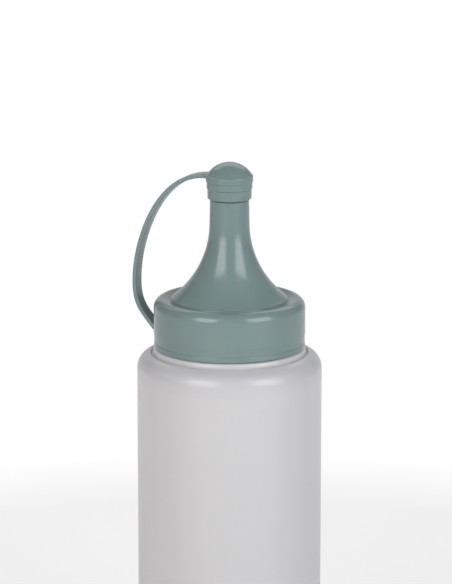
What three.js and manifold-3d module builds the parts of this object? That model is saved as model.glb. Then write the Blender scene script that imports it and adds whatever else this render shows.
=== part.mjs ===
// Squeeze oil bottle: blow-moulded bottle with a threaded neck, screw-on nozzle cap with a flared cone,
// push-on tip cap, and the strap that tethers the tip cap to the nozzle cap.
// Millimetres, +Z up. The origin is the centre of the base, at the plane that the bottle stands on.

import * as THREE from 'three';
import { mergeVertices } from 'three/addons/utils/BufferGeometryUtils.js';
import Module from 'manifold-3d';

const wasm = await Module();
wasm.setup();

// Bottle body
const BODY_RADIUS = 33.1;
const BODY_HEIGHT = 118;        // base to where the shoulder starts
const BODY_WALL = 1.0;
const HEEL_RADIUS = 4.5;        // rounding between base and side
const FOOT_INNER_RADIUS = 24.5; // inner edge of the flat ring that the bottle stands on
const PUSH_UP = 3.0;            // height of the hollow under the base, at the middle
const SHOULDER_RUN = 6.7;       // the shoulder is a quarter of an ellipse
const SHOULDER_RISE = 6.0;
const SHOULDER_EXTRA_WALL = 1.3; // a blown shoulder is thicker towards the neck

// Collar and neck
const COLLAR_RADIUS = 27.4;
const COLLAR_HEIGHT = 3.0;
const COLLAR_ROUNDING = 1.3;
const GROOVE_DEPTH = 1.0;       // how far the groove round the collar dips below the shoulder
const GROOVE_WIDTH = 1.0;
const NECK_WALL = 1.7;
const LIP_ROUNDING = 0.5;

// Thread, the same screw for the neck and the cap
const PITCH = 4.0;
const THREAD_TURNS = 1.75;
const THREAD_HEIGHT = 1.3;
const THREAD_BASE = 2.0;        // width of the ridge where it meets the wall
const THREAD_CREST = 1.0;       // width of its top
const THREAD_RUN_OUT = 0.12;    // share of a turn over which each end fades into the wall
const THREAD_ROOT_SUNK = 0.35;  // how far the ridge's root lies inside the wall
const THREAD_CLEARANCE = 0.4;   // crest to the other piece's wall
const FLANK_CLEARANCE = 0.3;    // between the flanks that bear when the cap is tight
const NECK_THREAD_START = 2.6;  // middle of the neck ridge's first turn, over the skirt's lower edge
const CAP_THREAD_START_TURN = 0.4;

// Nozzle cap skirt and top
const SKIRT_RADIUS = 27.1;
const SKIRT_HEIGHT = 17.3;
const SKIRT_WALL = 1.6;
const SKIRT_TO_COLLAR = 0.4;    // gap between the skirt's edge and the collar
const SKIRT_TOP_ROUNDING = 3.3;
const SKIRT_BEAD_HEIGHT = 1.7;  // rolled lower edge
const SKIRT_BEAD_ROUNDING = 0.6;
const SKIRT_WAIST_DEPTH = 0.15; // shallow waist above the bead
const SKIRT_WAIST_HEIGHT = 3.2;
const TOP_DISH = 0.8;           // the top falls this much from the rim to the cone's foot
const TOP_THICKNESS = 1.8;

// Cone nozzle
const CONE_FOOT_RADIUS = 20.8;
const CONE_FOOT_LAND = 0.9;     // short upright step at the cone's foot
const FLARE_RADIUS = 34;        // the cone's side is one hollow arc
const NECK_TUBE_RADIUS = 7.15;  // where the arc runs into the tube
const NECK_TUBE_TOP_RADIUS = 6.95;
const TUBE_LENGTH = 8.4;        // straight tube above the arc
const NOZZLE_WALL = 1.6;

// Spout under the tip cap
const SPOUT_RADIUS = 6.3;
const SPOUT_HEIGHT = 8.7;
const SPOUT_WALL = 1.4;
const SPOUT_ROOF = 1.5;
const SPOUT_ROUNDING = 0.8;
const ORIFICE_RADIUS = 2.2;
const FUNNEL_HEIGHT = 3.0;

// Tip cap
const TIP_GRIP_RADIUS = 7.87;   // lowest of the three stepped bands
const TIP_GRIP_HEIGHT = 3.7;
const TIP_BAND_RADIUS = 8.15;   // middle band
const TIP_BAND_HEIGHT = 2.4;
const TIP_FLANGE_RADIUS = 8.4;  // top band, which the strap leaves from
const TIP_FLANGE_HEIGHT = 2.6;
const TIP_EDGE_ROUNDING = 0.7;
const TIP_STEP_BEVEL = 0.25;
const DOME_RADIUS = 8.0;
const DOME_HEIGHT = 4.5;
const DOME_WALL = 1.2;
const PLUG_REACH = 2.0;         // how deep the sealing plug goes into the orifice

// Seal ring
const SEAL_THICKNESS = 1.4;
const SEAL_OVERHANG = 1.0;      // how far it reaches past the lip on each side
const SEAL_ROUNDING = 0.3;

// Strap
const STRAP_WIDTH = 5.2;
const STRAP_THICKNESS = 1.55;
const STRAP_ROUNDING = 0.35;
const STRAP_TURN = THREE.MathUtils.degToRad(22); // its plane, turned from -X towards +Y
const STRAP_REACH = 36;         // farthest that its middle line gets from the axis
const STRAP_REACH_DROP = 41.3;  // that point, below the flange's top
const STRAP_ROOT_HEIGHT = 3.3;  // middle of its root, over the skirt's lower edge
const STRAP_TOP_HANDLE = 18.3;  // how long each end of its two curves keeps its direction
const STRAP_UPPER_HANDLE = 15.3;
const STRAP_LOWER_HANDLE = 8.9;
const STRAP_ROOT_HANDLE = 6.3;
const STRAP_ROOT_FLARE = 1.6;   // the band widens by this much where it joins the skirt
const STRAP_FLARE_START = 0.88; // share of its length after which it widens
const STRAP_STEPS = 34;

// Fits
const SEAT_GAP = 0.3;           // between pieces that touch
const PLUG_CLEARANCE = 0.3;
const TIP_CLEARANCE = 0.4;

// Facets
const ROUND_STEPS = 40;
const SMALL_ROUND_STEPS = 32;

// Sizes that follow from the ones above
const SKIRT_INNER_RADIUS = SKIRT_RADIUS - SKIRT_WALL;
const NECK_RADIUS = SKIRT_INNER_RADIUS - THREAD_CLEARANCE - THREAD_HEIGHT;
const NECK_BORE_RADIUS = NECK_RADIUS - NECK_WALL;
const SHOULDER_INNER_RADIUS = BODY_RADIUS - SHOULDER_RUN;
const GROOVE_RADIUS = COLLAR_RADIUS + GROOVE_WIDTH / 2;
const grooveLip = (GROOVE_RADIUS + GROOVE_WIDTH / 2 - SHOULDER_INNER_RADIUS) / SHOULDER_RUN;
const GROOVE_LIP_ANGLE = Math.acos(grooveLip);
const GROOVE_Z = BODY_HEIGHT + SHOULDER_RISE * Math.sin(GROOVE_LIP_ANGLE) - GROOVE_DEPTH;
const COLLAR_TOP_Z = GROOVE_Z + COLLAR_HEIGHT;
const SKIRT_Z = COLLAR_TOP_Z + SKIRT_TO_COLLAR;
const RIM_Z = SKIRT_Z + SKIRT_HEIGHT;
const CONE_FOOT_Z = RIM_Z - TOP_DISH;
const TOP_UNDERSIDE_Z = CONE_FOOT_Z - TOP_THICKNESS;
const SEAL_TOP_Z = TOP_UNDERSIDE_Z - SEAT_GAP;
const LIP_Z = SEAL_TOP_Z - SEAL_THICKNESS - SEAT_GAP;
const FLARE_CENTRE_RADIUS = NECK_TUBE_RADIUS + FLARE_RADIUS;
const flareFootAngle = Math.acos((FLARE_CENTRE_RADIUS - CONE_FOOT_RADIUS) / FLARE_RADIUS);
const FLARE_Z = CONE_FOOT_Z + CONE_FOOT_LAND + FLARE_RADIUS * Math.sin(flareFootAngle);
const SHOULDER_STEP_Z = FLARE_Z + TUBE_LENGTH;
const SPOUT_TOP_Z = SHOULDER_STEP_Z + SPOUT_HEIGHT;
const TIP_Z = SHOULDER_STEP_Z + SEAT_GAP;
const TIP_BORE_RADIUS = SPOUT_RADIUS + TIP_CLEARANCE;
const FLANGE_TOP_Z = TIP_Z + TIP_GRIP_HEIGHT + TIP_BAND_HEIGHT + TIP_FLANGE_HEIGHT;
const DOME_TOP_Z = FLANGE_TOP_Z + DOME_HEIGHT;

const HALF_PI = Math.PI / 2;

// Solid of revolution from a closed outline, or one that starts and ends on the axis
function turned(outline, steps) {
  const geometry = new THREE.LatheGeometry(outline, steps);
  geometry.rotateX(HALF_PI);
  return geometry;
}

function welded(geometry) {
  const bare = geometry.index ? geometry.toNonIndexed() : geometry.clone();
  bare.deleteAttribute('normal');
  bare.deleteAttribute('uv');
  return mergeVertices(bare, 1e-4);
}

function toManifold(geometry) {
  const merged = welded(geometry);
  return new wasm.Manifold(new wasm.Mesh({
    numProp: 3,
    vertProperties: new Float32Array(merged.attributes.position.array),
    triVerts: new Uint32Array(merged.index.array),
  }));
}

function fromManifold(solid) {
  const mesh = solid.getMesh();
  const geometry = new THREE.BufferGeometry();
  geometry.setAttribute('position', new THREE.BufferAttribute(mesh.vertProperties, 3));
  geometry.setIndex(new THREE.BufferAttribute(mesh.triVerts, 1));
  geometry.computeVertexNormals();
  return geometry;
}

// Points of a quarter or other stretch of an ellipse, from one angle to another
function ellipsePoints(centreR, centreZ, radiusR, radiusZ, from, to, steps) {
  const points = [];
  for (let i = 0; i <= steps; i += 1) {
    const angle = from + (to - from) * i / steps;
    points.push(new THREE.Vector2(centreR + radiusR * Math.cos(angle), centreZ + radiusZ * Math.sin(angle)));
  }
  return points;
}

function point(r, z) {
  return new THREE.Vector2(r, z);
}

// Base, heel, side and shoulder of the bottle, from the axis up; inset is the depth under the outer skin
function bodyLine(inset, shoulderLine) {
  const footZ = inset;
  const heel = HEEL_RADIUS - inset;
  const heelCentreR = BODY_RADIUS - HEEL_RADIUS;
  const base = [];
  const pushUpSteps = 4;
  for (let i = 0; i < pushUpSteps; i += 1) {
    const share = i / pushUpSteps;
    base.push(point(FOOT_INNER_RADIUS * share, footZ + PUSH_UP * Math.cos(share * HALF_PI)));
  }
  base.push(point(FOOT_INNER_RADIUS, footZ));
  return [
    ...base,
    ...ellipsePoints(heelCentreR, HEEL_RADIUS, heel, heel, -HALF_PI, 0, 4),
    ...shoulderLine(inset),
  ];
}

function outerShoulder() {
  return ellipsePoints(
    SHOULDER_INNER_RADIUS, BODY_HEIGHT, SHOULDER_RUN, SHOULDER_RISE, 0, GROOVE_LIP_ANGLE, 6);
}

function innerShoulder(inset) {
  const rise = SHOULDER_RISE - inset - SHOULDER_EXTRA_WALL;
  return ellipsePoints(SHOULDER_INNER_RADIUS, BODY_HEIGHT, SHOULDER_RUN - inset, rise, 0, HALF_PI, 4);
}

// Groove, collar, neck and lip, from the shoulder up
function neckLine() {
  return [
    point(GROOVE_RADIUS + GROOVE_WIDTH / 4, GROOVE_Z + GROOVE_DEPTH / 4),
    point(GROOVE_RADIUS - GROOVE_WIDTH / 4, GROOVE_Z),
    point(COLLAR_RADIUS, GROOVE_Z + GROOVE_DEPTH / 2),
    ...ellipsePoints(
      COLLAR_RADIUS - COLLAR_ROUNDING, COLLAR_TOP_Z - COLLAR_ROUNDING,
      COLLAR_ROUNDING, COLLAR_ROUNDING, 0, HALF_PI, 3),
    point(NECK_RADIUS, COLLAR_TOP_Z),
    ...ellipsePoints(
      NECK_RADIUS - LIP_ROUNDING, LIP_Z - LIP_ROUNDING, LIP_ROUNDING, LIP_ROUNDING, 0, HALF_PI, 2),
    ...ellipsePoints(
      NECK_BORE_RADIUS + LIP_ROUNDING, LIP_Z - LIP_ROUNDING,
      LIP_ROUNDING, LIP_ROUNDING, HALF_PI, Math.PI, 2),
    point(NECK_BORE_RADIUS, COLLAR_TOP_Z),
  ];
}

// Solid through a row of sections, each a ring of points that runs anticlockwise seen from the start
function lofted(sections) {
  const sides = sections[0].length;
  const lastStart = (sections.length - 1) * sides;
  const indices = [];
  for (let start = 0; start < lastStart; start += sides) {
    for (let side = 0; side < sides; side += 1) {
      const a = start + side;
      const b = start + (side + 1) % sides;
      indices.push(a, b, b + sides, a, b + sides, a + sides);
    }
  }
  for (let side = 1; side < sides - 1; side += 1) {
    indices.push(0, side + 1, side);
    indices.push(lastStart, lastStart + side, lastStart + side + 1);
  }
  const geometry = new THREE.BufferGeometry().setFromPoints(sections.flat());
  geometry.setIndex(indices);
  return geometry;
}

// Helical ridge. outward is 1 for a ridge on a shaft and -1 for one inside a bore.
function threadRidge(wallRadius, outward, startZ, startTurn) {
  const steps = Math.round(THREAD_TURNS * ROUND_STEPS);
  const root = wallRadius - outward * THREAD_ROOT_SUNK;
  const sections = [];
  for (let i = 0; i <= steps; i += 1) {
    const turn = THREAD_TURNS * i / steps;
    const fromEnd = Math.min(turn, THREAD_TURNS - turn);
    const fade = Math.min(1, fromEnd / THREAD_RUN_OUT);
    const angle = 2 * Math.PI * (startTurn + turn);
    const middleZ = startZ + PITCH * (startTurn + turn);
    const rise = THREAD_HEIGHT * fade - THREAD_ROOT_SUNK / 2 * (1 - fade);
    const crest = wallRadius + outward * rise;
    const onRay = (radius, dz) => new THREE.Vector3(
      radius * Math.cos(angle), radius * Math.sin(angle), middleZ + dz);
    sections.push([
      onRay(root, -outward * THREAD_BASE / 2),
      onRay(root, outward * THREAD_BASE / 2),
      onRay(crest, outward * THREAD_CREST / 2),
      onRay(crest, -outward * THREAD_CREST / 2),
    ]);
  }
  return lofted(sections);
}

function makeBottle() {
  const outline = [
    ...bodyLine(0, outerShoulder),
    ...neckLine(),
    ...bodyLine(BODY_WALL, innerShoulder).reverse(),
  ];
  const shell = toManifold(turned(outline, ROUND_STEPS));
  const ridge = toManifold(threadRidge(NECK_RADIUS, 1, SKIRT_Z + NECK_THREAD_START, 0));
  return fromManifold(shell.add(ridge));
}

// Outside of the nozzle cap, from the skirt's lower edge to the orifice
function nozzleOuterLine() {
  const beadTopZ = SKIRT_Z + SKIRT_BEAD_HEIGHT;
  const waistZ = SKIRT_Z + SKIRT_WAIST_HEIGHT;
  const roundingR = SKIRT_RADIUS - SKIRT_TOP_ROUNDING;
  const waistR = SKIRT_RADIUS - SKIRT_WAIST_DEPTH;
  return [
    ...ellipsePoints(
      SKIRT_RADIUS - SKIRT_BEAD_ROUNDING, SKIRT_Z + SKIRT_BEAD_ROUNDING,
      SKIRT_BEAD_ROUNDING, SKIRT_BEAD_ROUNDING, -HALF_PI, 0, 3),
    point(SKIRT_RADIUS, beadTopZ - SKIRT_WAIST_DEPTH),
    point(waistR, beadTopZ),
    point(waistR, waistZ),
    point(SKIRT_RADIUS, waistZ + SKIRT_BEAD_HEIGHT),
    ...ellipsePoints(
      roundingR, RIM_Z - SKIRT_TOP_ROUNDING, SKIRT_TOP_ROUNDING, SKIRT_TOP_ROUNDING, 0, HALF_PI, 6),
    point(CONE_FOOT_RADIUS, CONE_FOOT_Z),
    ...ellipsePoints(
      FLARE_CENTRE_RADIUS, FLARE_Z, FLARE_RADIUS, FLARE_RADIUS,
      Math.PI + flareFootAngle, Math.PI, 12),
    point(NECK_TUBE_TOP_RADIUS, SHOULDER_STEP_Z),
    point(SPOUT_RADIUS, SHOULDER_STEP_Z),
    ...ellipsePoints(
      SPOUT_RADIUS - SPOUT_ROUNDING, SPOUT_TOP_Z - SPOUT_ROUNDING,
      SPOUT_ROUNDING, SPOUT_ROUNDING, 0, HALF_PI, 3),
    point(ORIFICE_RADIUS, SPOUT_TOP_Z),
  ];
}

// Inside of the nozzle cap, from the orifice down to the skirt's lower edge
function nozzleInnerLine() {
  const innerFlare = FLARE_RADIUS + NOZZLE_WALL;
  const innerFootRadius = CONE_FOOT_RADIUS - SEAT_GAP;
  const innerFootAngle = Math.acos((FLARE_CENTRE_RADIUS - innerFootRadius) / innerFlare);
  const boreTopRadius = SPOUT_RADIUS - SPOUT_WALL;
  const roofZ = SPOUT_TOP_Z - SPOUT_ROOF;
  return [
    point(ORIFICE_RADIUS, roofZ),
    point(boreTopRadius, roofZ - FUNNEL_HEIGHT),
    ...ellipsePoints(
      FLARE_CENTRE_RADIUS, FLARE_Z, innerFlare, innerFlare, Math.PI, Math.PI + innerFootAngle, 10),
    point(innerFootRadius, TOP_UNDERSIDE_Z),
    point(SKIRT_INNER_RADIUS, TOP_UNDERSIDE_Z),
    point(SKIRT_INNER_RADIUS, SKIRT_Z),
  ];
}

function makeNozzleCap() {
  const outline = [...nozzleOuterLine(), ...nozzleInnerLine()];
  outline.push(outline[0].clone());
  const shell = toManifold(turned(outline, ROUND_STEPS));
  const flankOffset = (THREAD_BASE + THREAD_CREST) / 2 + FLANK_CLEARANCE;
  const startZ = SKIRT_Z + NECK_THREAD_START - flankOffset;
  const ridge = toManifold(threadRidge(SKIRT_INNER_RADIUS, -1, startZ, CAP_THREAD_START_TURN));
  return fromManifold(shell.add(ridge));
}

// Soft ring between the bottle's lip and the underside of the cap's top
function makeSealRing() {
  const innerR = NECK_BORE_RADIUS - SEAL_OVERHANG;
  const outerR = NECK_RADIUS + SEAL_OVERHANG;
  const bottomZ = SEAL_TOP_Z - SEAL_THICKNESS;
  const outline = [
    point(innerR + SEAL_ROUNDING, bottomZ),
    point(outerR - SEAL_ROUNDING, bottomZ),
    point(outerR, bottomZ + SEAL_ROUNDING),
    point(outerR, SEAL_TOP_Z - SEAL_ROUNDING),
    point(outerR - SEAL_ROUNDING, SEAL_TOP_Z),
    point(innerR + SEAL_ROUNDING, SEAL_TOP_Z),
    point(innerR, SEAL_TOP_Z - SEAL_ROUNDING),
    point(innerR, bottomZ + SEAL_ROUNDING),
  ];
  outline.push(outline[0].clone());
  return turned(outline, ROUND_STEPS);
}

// Outside of the tip cap, from its lower edge to the top of the dome
function tipOuterLine() {
  const bandZ = TIP_Z + TIP_GRIP_HEIGHT;
  const flangeZ = bandZ + TIP_BAND_HEIGHT;
  const domeSphere = (DOME_RADIUS ** 2 + DOME_HEIGHT ** 2) / (2 * DOME_HEIGHT);
  const domeAngle = Math.acos(DOME_RADIUS / domeSphere);
  return [
    ...ellipsePoints(
      TIP_GRIP_RADIUS - TIP_EDGE_ROUNDING, TIP_Z + TIP_EDGE_ROUNDING,
      TIP_EDGE_ROUNDING, TIP_EDGE_ROUNDING, -HALF_PI, 0, 3),
    point(TIP_GRIP_RADIUS, bandZ),
    point(TIP_BAND_RADIUS, bandZ + TIP_STEP_BEVEL),
    point(TIP_BAND_RADIUS, flangeZ),
    point(TIP_FLANGE_RADIUS, flangeZ + TIP_STEP_BEVEL),
    point(TIP_FLANGE_RADIUS, FLANGE_TOP_Z - TIP_STEP_BEVEL),
    point(TIP_FLANGE_RADIUS - TIP_STEP_BEVEL, FLANGE_TOP_Z),
    ...ellipsePoints(0, DOME_TOP_Z - domeSphere, domeSphere, domeSphere, domeAngle, HALF_PI, 7),
  ];
}

// Inside of the tip cap, from the plug's end on the axis to the lower edge
function tipInnerLine() {
  const plugR = ORIFICE_RADIUS - PLUG_CLEARANCE;
  const plugZ = SPOUT_TOP_Z - PLUG_REACH;
  const plugBevel = plugR / 4;
  const roofZ = FLANGE_TOP_Z;
  const roofRise = DOME_HEIGHT - DOME_WALL;
  const plugRootAngle = Math.acos(plugR / TIP_BORE_RADIUS);
  return [
    point(0, plugZ),
    point(plugR - plugBevel, plugZ),
    point(plugR, plugZ + plugBevel),
    ...ellipsePoints(0, roofZ, TIP_BORE_RADIUS, roofRise, plugRootAngle, 0, 5),
    point(TIP_BORE_RADIUS, TIP_Z),
  ];
}

function makeTipCap() {
  const outline = [...tipInnerLine(), ...tipOuterLine()];
  return turned(outline, SMALL_ROUND_STEPS);
}

// Middle line of the strap in its own plane: x is the distance from the axis
function strapPath() {
  const topZ = FLANGE_TOP_Z - STRAP_THICKNESS / 2;
  const reachZ = FLANGE_TOP_Z - STRAP_REACH_DROP;
  const rootZ = SKIRT_Z + STRAP_ROOT_HEIGHT;
  const path = new THREE.CurvePath();
  path.add(new THREE.CubicBezierCurve3(
    new THREE.Vector3(TIP_FLANGE_RADIUS, 0, topZ),
    new THREE.Vector3(TIP_FLANGE_RADIUS + STRAP_TOP_HANDLE, 0, topZ),
    new THREE.Vector3(STRAP_REACH, 0, reachZ + STRAP_UPPER_HANDLE),
    new THREE.Vector3(STRAP_REACH, 0, reachZ)));
  path.add(new THREE.CubicBezierCurve3(
    new THREE.Vector3(STRAP_REACH, 0, reachZ),
    new THREE.Vector3(STRAP_REACH, 0, reachZ - STRAP_LOWER_HANDLE),
    new THREE.Vector3(SKIRT_RADIUS + STRAP_ROOT_HANDLE, 0, rootZ + STRAP_ROOT_HANDLE),
    new THREE.Vector3(SKIRT_RADIUS - SKIRT_WALL / 2, 0, rootZ - SKIRT_WALL / 2)));
  return path;
}

// Corners of the band's section, as thickness and width offsets from its middle line
function strapSection(width) {
  const halfT = STRAP_THICKNESS / 2;
  const halfW = width / 2;
  const corner = STRAP_ROUNDING;
  return [
    [halfT, corner - halfW],
    [halfT, halfW - corner],
    [halfT - corner, halfW],
    [corner - halfT, halfW],
    [-halfT, halfW - corner],
    [-halfT, corner - halfW],
    [corner - halfT, -halfW],
    [halfT - corner, -halfW],
  ];
}

// Solid cylinder on the axis, used to trim what meets a round wall
function trimCylinder(radius, lowZ, highZ) {
  const outline = [point(0, lowZ), point(radius, lowZ), point(radius, highZ), point(0, highZ)];
  return toManifold(turned(outline, ROUND_STEPS));
}

function makeStrap() {
  const path = strapPath();
  const sections = [];
  for (let i = 0; i <= STRAP_STEPS; i += 1) {
    const share = i / STRAP_STEPS;
    const middle = path.getPointAt(share);
    const along = path.getTangentAt(share);
    const flare = Math.max(0, share - STRAP_FLARE_START) / (1 - STRAP_FLARE_START);
    const width = STRAP_WIDTH + STRAP_ROOT_FLARE * flare ** 2;
    sections.push(strapSection(width).map(([thick, wide]) => new THREE.Vector3(
      middle.x + along.z * thick, wide, middle.z - along.x * thick)));
  }
  const band = lofted(sections);
  band.rotateZ(Math.PI - STRAP_TURN);
  const flangeTrim = trimCylinder(TIP_FLANGE_RADIUS + SEAT_GAP, TIP_Z, DOME_TOP_Z);
  const skirtTrim = trimCylinder(SKIRT_RADIUS + SEAT_GAP, SKIRT_Z - SKIRT_HEIGHT, RIM_Z);
  return fromManifold(toManifold(band).subtract(flangeTrim).subtract(skirtTrim));
}

function material(colour, roughness) {
  return new THREE.MeshStandardMaterial({ color: colour, roughness, metalness: 0 });
}

const GREEN = 0x8aa09c;
const PALE_GREY = 0xd6d6d4;
const MILKY_WHITE = 0xd9d8d6;

const pieces = [
  ['bottle', makeBottle, MILKY_WHITE, 0.35],
  ['seal_ring', makeSealRing, PALE_GREY, 0.6],
  ['nozzle_cap', makeNozzleCap, GREEN, 0.3],
  ['tip_cap', makeTipCap, GREEN, 0.3],
  ['strap', makeStrap, GREEN, 0.35],
];

const oilBottle = new THREE.Group();
for (const [name, make, colour, roughness] of pieces) {
  const mesh = new THREE.Mesh(make(), material(colour, roughness));
  mesh.name = name;
  oilBottle.add(mesh);
}

export default oilBottle;
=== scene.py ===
"""Looks of a squeeze oil bottle: a milky blown bottle with a green nozzle cap, tip cap and strap."""

import math
from types import SimpleNamespace

import bmesh
import bpy
from mathutils import Matrix, Vector


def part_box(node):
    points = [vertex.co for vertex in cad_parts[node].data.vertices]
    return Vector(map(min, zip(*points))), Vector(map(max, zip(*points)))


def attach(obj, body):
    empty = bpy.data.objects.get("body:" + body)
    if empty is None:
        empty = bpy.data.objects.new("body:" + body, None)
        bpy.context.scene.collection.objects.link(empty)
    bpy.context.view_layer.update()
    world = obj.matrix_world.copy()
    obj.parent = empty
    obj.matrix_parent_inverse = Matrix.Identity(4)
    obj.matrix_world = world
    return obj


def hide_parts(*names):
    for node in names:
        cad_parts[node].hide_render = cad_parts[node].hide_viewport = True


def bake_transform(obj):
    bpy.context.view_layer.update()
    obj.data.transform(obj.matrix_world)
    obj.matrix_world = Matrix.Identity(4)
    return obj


bl_info = {
    "name": "Squeeze Oil Bottle",
    "version": (1, 0, 0),
    "blender": (4, 5, 0),
    "location": "3D View > Sidebar > Oil Bottle",
    "description": "Makes a squeeze oil bottle with a screw-on nozzle cap and a tethered tip cap",
    "category": "Add Mesh",
}

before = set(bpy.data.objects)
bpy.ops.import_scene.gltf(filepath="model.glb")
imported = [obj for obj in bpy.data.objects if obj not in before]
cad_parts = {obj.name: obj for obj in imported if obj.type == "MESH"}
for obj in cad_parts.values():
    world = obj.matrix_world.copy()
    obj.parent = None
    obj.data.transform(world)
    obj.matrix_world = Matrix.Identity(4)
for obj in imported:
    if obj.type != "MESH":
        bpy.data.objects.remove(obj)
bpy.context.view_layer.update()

HALF_PI = math.pi / 2
X, Z = 0, 2  # axes of the boxes
CUBIC_MM = 1e9  # in a cubic metre


def mm(value):
    """Millimetres as metres."""
    return value / 1000


def linear(hex_colour):
    """An sRGB hex colour as linear red, green and blue."""
    parts = [int(hex_colour[i:i + 2], 16) / 255 for i in (1, 3, 5)]
    return tuple(p / 12.92 if p <= 0.04045 else ((p + 0.055) / 1.055) ** 2.4 for p in parts)


def low(node, axis):
    """The lower end of a CAD node along an axis."""
    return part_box(node)[0][axis]


def high(node, axis):
    """The upper end of a CAD node along an axis."""
    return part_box(node)[1][axis]


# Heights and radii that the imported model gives
BODY_RADIUS = high("bottle", X)
LIP_Z = high("bottle", Z)
SKIRT_RADIUS = high("nozzle_cap", X)
SKIRT_Z = low("nozzle_cap", Z)
SPOUT_TOP_Z = high("nozzle_cap", Z)
SEAL_OUTER_RADIUS = high("seal_ring", X)
SEAL_LOW_Z = low("seal_ring", Z)
SEAL_TOP_Z = high("seal_ring", Z)
TIP_FLANGE_RADIUS = high("tip_cap", X)
TIP_Z = low("tip_cap", Z)
DOME_TOP_Z = high("tip_cap", Z)

# Small roundings and fits that only the looks need
STEP_FILLET = mm(0.16)
CREASE_FILLET = mm(0.35)
GROOVE_FILLET = mm(0.3)
GROOVE_SOFTENED = mm(0.35)  # how much the blown wall fills the bottom of the groove
EDGE_LINE_DEPTH = mm(0.2)  # depth of the fine line over the skirt's rolled edge
SEAM_CLOSED = mm(0.2)  # how far the skirt's edge comes down, so that the seam looks closed
SEAL_INNER_OVERHANG = mm(1.0)  # how far the seal ring reaches in past the neck's bore
SUPPORT = mm(0.12)  # distance of the extra loop that keeps a flat face's shading flat
LONG_STRETCH = 4 * SUPPORT  # only longer stretches get those loops
MERGE_DISTANCE = mm(0.002)
SWEEP_RADIUS = 1.0  # radius of the helper circle that an outline is swept round
SMOOTH_LIMIT = math.radians(38)
THREAD_END_SCALE = 0.12  # the ridge's size at its ends, where it lies inside the wall
STRAP_UPPER_SHARE = 0.625  # share of the strap's steps that lie above its reach
FLANGE_FLARE_END = 0.03  # share of the strap over which its upper end widens
ROOT_FLARE_START = 0.88  # share after which its lower end widens

# Steps along each round stretch
FILLET_STEPS = 5
RIDGE_FILLET_STEPS = 3
EDGE_STEPS = 8
LIP_STEPS = 6
PUSH_UP_STEPS = 14
HEEL_STEPS = 12
SHOULDER_STEPS = 22
SHOULDER_INSIDE_STEPS = 12
RIM_STEPS = 16
FLARE_STEPS = 48
FLARE_INSIDE_STEPS = 36
DOME_STEPS = 26
DOME_INSIDE_STEPS = 14

# Finishes: the size of each pattern's patches, how they are drawn out, and the ends of what they drive
NOISE_RANGE = (0.35, 0.65)  # where most of the noise lies
CELL_RANGE = (0, 0.7)  # where most of the distances inside a foam cell lie
MOULDED_IOR = 1.49
MOULDED_ROUGHNESS = (0.19, 0.23)
MOULDED_SUBSURFACE = 0.12
MOULDED_SCATTER = mm(1.2)
FLOW_SIZE = mm(14)
FLOW_STRETCH = (1, 1, 2.5)
WEAR_SIZE = mm(3)
WAVE_SIZE = mm(2.2)
RING_SIZE = mm(0.7)
RING_STRETCH = (40, 40, 1)
BLOWN_IOR = 1.51
BLOWN_ROUGHNESS = (0.278, 0.31)
BLOWN_SUBSURFACE = 0.3
BLOWN_SCATTER = mm(2)
BLOWN_SCATTER_BY_COLOUR = (1.0, 0.97, 0.94)
BAND_SIZE = mm(9)
BAND_STRETCH = (1, 1, 9)
BAND_DEPTH = 0.1  # share of the darker milk colour that the bands add
SHADE_BELOW_SHOULDER = mm(4)  # where the painted shade over the shoulder starts; the wall also starts to thicken there
GROOVE_SHADE = 0.1  # share of the painted shade left on the collar over the groove
GROOVE_SHADE_RISE = mm(1)
CLOUD_SIZE = mm(6)
DRAWN_SIZE = mm(5)
DRAWN_STRETCH = (1, 1, 6)
SKIN_RELIEF = mm(0.01)
CELL_SIZE = mm(0.6)
CELL_SHADE = 0.25
CELL_RELIEF = mm(0.05)
FOAM_ROUGHNESS = (0.7, 0.85)
FLOOR_GRAIN = mm(40)
FLOOR_ROUGHNESS = (0.85, 0.95)

# The photograph's frame: the camera looks down a little, from well back
PHOTO_HEIGHT = 584
FOCAL_PIXELS = 3360
SENSOR_WIDTH = 36
CAMERA_LENS = FOCAL_PIXELS / PHOTO_HEIGHT * SENSOR_WIDTH
CAMERA_ELEVATION = 13.2
CAMERA_DISTANCE = 1.2
CAMERA_TARGET = (mm(-1.25), 0, mm(145.43))

# Studio: name, azimuth and elevation in degrees, width and height in metres, watts, colour
LAMP_DISTANCE = 0.9
SOFT_BOXES = (
    ("soft_box_left", -37, 22, 0.56, 0.68, 5.6, "#fffcfb"),
    ("soft_box_right", 48, 22, 0.56, 0.68, 5.6, "#fafcff"),
    ("soft_box_back", 180, 45, 1.1, 0.4, 2.0, "#ffffff"),
)
WORLD_LEVEL = 0.24
BACKDROP_LEVEL = 0.6  # brightness of the white backdrop that gloss sees
BACKDROP_EDGE = (0.75, 0.93)  # share of a ray that runs back, from where gloss sees it to where in full
FLOOR_SIZE = 8
FLOOR_Z = mm(-0.05)
FLOOR_COLOUR = "#e8e8e8"
FLOOR_GLOW = 0.7  # share of plain white near the foot, where the floor still takes a shadow
SHADOW_START = mm(60)
SHADOW_END = mm(300)


def length(label, description, millimetres):
    return bpy.props.FloatProperty(
        name=label, description=description, default=mm(millimetres), min=0, unit="LENGTH", precision=5)


def whole(label, description, default):
    return bpy.props.IntProperty(name=label, description=description, default=default, min=3)


def colour(label, description, hex_colour):
    return bpy.props.FloatVectorProperty(
        name=label, description=description, default=linear(hex_colour), size=3, min=0, max=1,
        subtype="COLOR")


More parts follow.
